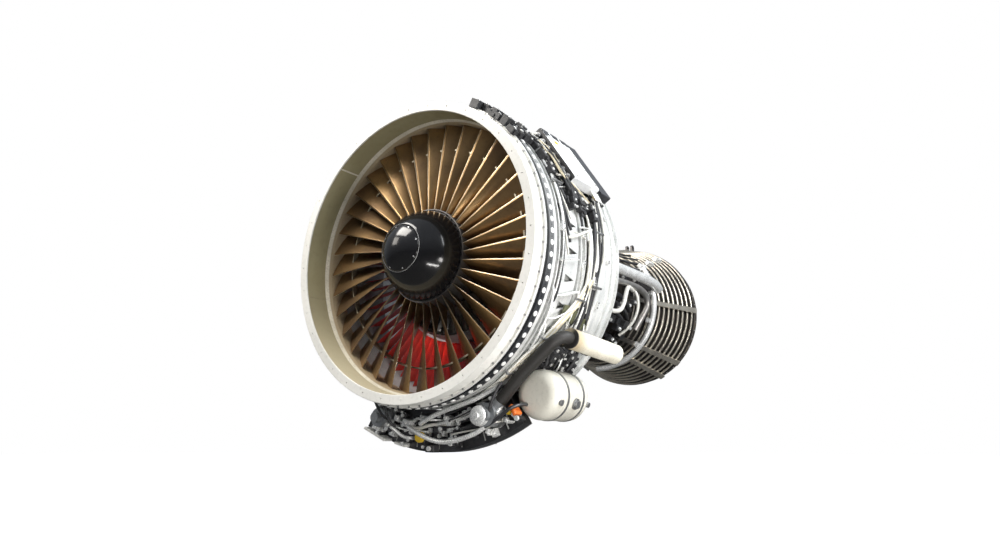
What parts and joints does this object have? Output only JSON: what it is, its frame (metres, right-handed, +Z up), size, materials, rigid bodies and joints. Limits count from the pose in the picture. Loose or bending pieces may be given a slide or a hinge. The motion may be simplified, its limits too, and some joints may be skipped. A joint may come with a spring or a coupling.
{
  "type": "turbofan jet engine",
  "caption": "High-bypass turbofan engine with a shrouded wide fan, ring-stiffened fan case, underslung gearbox, core and tube-wrapped turbine case.",
  "frame": {"origin": "centre of the inlet flange's front face, on the engine's axis", "axes": "+Y aft along the engine's axis, +Z up, +X towards the side with the oil tank"},
  "size_m": [2.6974, 4.584, 2.9557],
  "materials": {
    "ring_white": "satin off-white paint",
    "liner_olive": "perforated composite, olive",
    "seal_cream": "cream abradable",
    "case_silver": "pale machined and painted metal",
    "case_grey": "grey machined metal",
    "bolt_steel": "dark plated steel",
    "liner_grey": "perforated composite, grey",
    "vane_red": "red enamel on metal",
    "vane_steel": "milled",
    "blade_titanium": "satin titanium",
    "forged_steel": "turned",
    "spinner_black": "gloss black",
    "bearing_steel": "ground",
    "hot_metal": "heat-tinted nickel alloy",
    "tube_steel": "bright drawn tube",
    "cast_light": "as-cast, light grey",
    "unit_dark": "dark grey paint",
    "duct_white": "white lagging",
    "tank_cream": "cream-grey paint"
  },
  "bodies": {
    "engine_frame": {"inlet_ring": "ring_white", "inlet_liner": "liner_olive", "tip_seal": "seal_cream", "fan_case": "case_silver", "bypass_case": "case_silver", "case_bolts": "bolt_steel", "duct_liner": "liner_grey", "outlet_guide_vanes": "vane_red", "splitter_case": "case_grey", "booster_vanes": "vane_steel", "fan_frame": "case_silver", "fan_bearing": "bearing_steel", "core_bearing": "bearing_steel", "rear_bearing": "bearing_steel", "compressor_vanes": "vane_steel", "compressor_case_lower": "case_grey", "compressor_case_upper": "case_grey", "combustor_case": "hot_metal", "combustor_liner": "hot_metal", "fuel_nozzles": "bolt_steel", "fuel_manifold": "tube_steel", "turbine_nozzle": "hot_metal", "lp_turbine_case": "hot_metal", "lp_turbine_vanes": "hot_metal", "cooling_tubes": "tube_steel", "turbine_rear_frame": "hot_metal", "rear_cover": "hot_metal", "forward_mount": "forged_steel", "aft_mount": "forged_steel", "gearbox_housing": "cast_light", "gearbox_cover": "cast_light", "transfer_housing": "cast_light", "fuel_pump": "cast_light", "hydraulic_pump": "cast_light", "generator": "unit_dark", "starter": "cast_light", "starter_duct": "duct_white", "oil_tank": "tank_cream", "control_unit": "unit_dark", "junction_box": "duct_white", "case_pipes": "tube_steel", "bleed_duct": "duct_white", "vane_actuator": "cast_light"},
    "lp_spool": {"fan_blades": "blade_titanium", "fan_disk": "forged_steel", "spinner_cone": "spinner_black", "spinner_cap": "spinner_black", "lp_shaft": "forged_steel", "booster_rotor": "vane_steel", "lp_turbine_rotor": "hot_metal"},
    "core_spool": {"compressor_rotor": "vane_steel", "core_turbine_rotor": "hot_metal"},
    "radial_drive": {"radial_shaft": "forged_steel"},
    "fuel_pump_drive": {"fuel_pump_gear": "forged_steel"},
    "hydraulic_drive": {"hydraulic_pump_gear": "forged_steel"},
    "gearbox_drive": {"drive_shaft": "forged_steel"},
    "generator_drive": {"generator_gear": "forged_steel"},
    "starter_drive": {"starter_gear": "forged_steel"},
    "unison": {"vane_rings": "tube_steel"},
    "vane_rod": {"actuator_rod": "forged_steel"}
  },
  "joints": [
    {"name": "lp_spin", "type": "hinge", "parent": "engine_frame", "child": "lp_spool", "pos_m": [0, 0.4, 0], "axis": [0, 1, 0], "continuous": true},
    {"name": "core_spin", "type": "hinge", "parent": "engine_frame", "child": "core_spool", "pos_m": [0, 1.9, 0], "axis": [0, 1, 0], "continuous": true},
    {"name": "radial_spin", "type": "hinge", "parent": "engine_frame", "child": "radial_drive", "pos_m": [0, 1.145, -0.8], "axis": [0, 0, 1], "continuous": true},
    {"name": "fuel_pump_spin", "type": "hinge", "parent": "engine_frame", "child": "fuel_pump_drive", "pos_m": [-0.58454, 0.56, -1.35423], "axis": [0, 1, 0], "continuous": true},
    {"name": "hydraulic_spin", "type": "hinge", "parent": "engine_frame", "child": "hydraulic_drive", "pos_m": [-0.29845, 0.56, -1.44449], "axis": [0, 1, 0], "continuous": true},
    {"name": "gearbox_spin", "type": "hinge", "parent": "engine_frame", "child": "gearbox_drive", "pos_m": [0, 0.56, -1.475], "axis": [0, 1, 0], "continuous": true},
    {"name": "generator_spin", "type": "hinge", "parent": "engine_frame", "child": "generator_drive", "pos_m": [0.29845, 0.56, -1.44449], "axis": [0, 1, 0], "continuous": true},
    {"name": "starter_spin", "type": "hinge", "parent": "engine_frame", "child": "starter_drive", "pos_m": [0.58454, 0.56, -1.35423], "axis": [0, 1, 0], "continuous": true},
    {"name": "vane_ring_turn", "type": "hinge", "parent": "engine_frame", "child": "unison", "pos_m": [0, 1.64, 0], "axis": [0, 1, 0], "range_deg": [-3, 3]},
    {"name": "vane_rod_slide", "type": "slide", "parent": "engine_frame", "child": "vane_rod", "axis": [0, 0, 1], "range_m": [-0.032, 0.032]}
  ],
  "couplings": [
    {"joint": "radial_spin", "follows": "core_spin", "ratio": 2},
    {"joint": "gearbox_spin", "follows": "core_spin", "ratio": 2},
    {"joint": "generator_spin", "follows": "core_spin", "ratio": -2},
    {"joint": "hydraulic_spin", "follows": "core_spin", "ratio": -2},
    {"joint": "starter_spin", "follows": "core_spin", "ratio": 2},
    {"joint": "fuel_pump_spin", "follows": "core_spin", "ratio": 2},
    {"joint": "vane_rod_slide", "follows": "vane_ring_turn", "m_per_rad": -0.5}
  ]
}
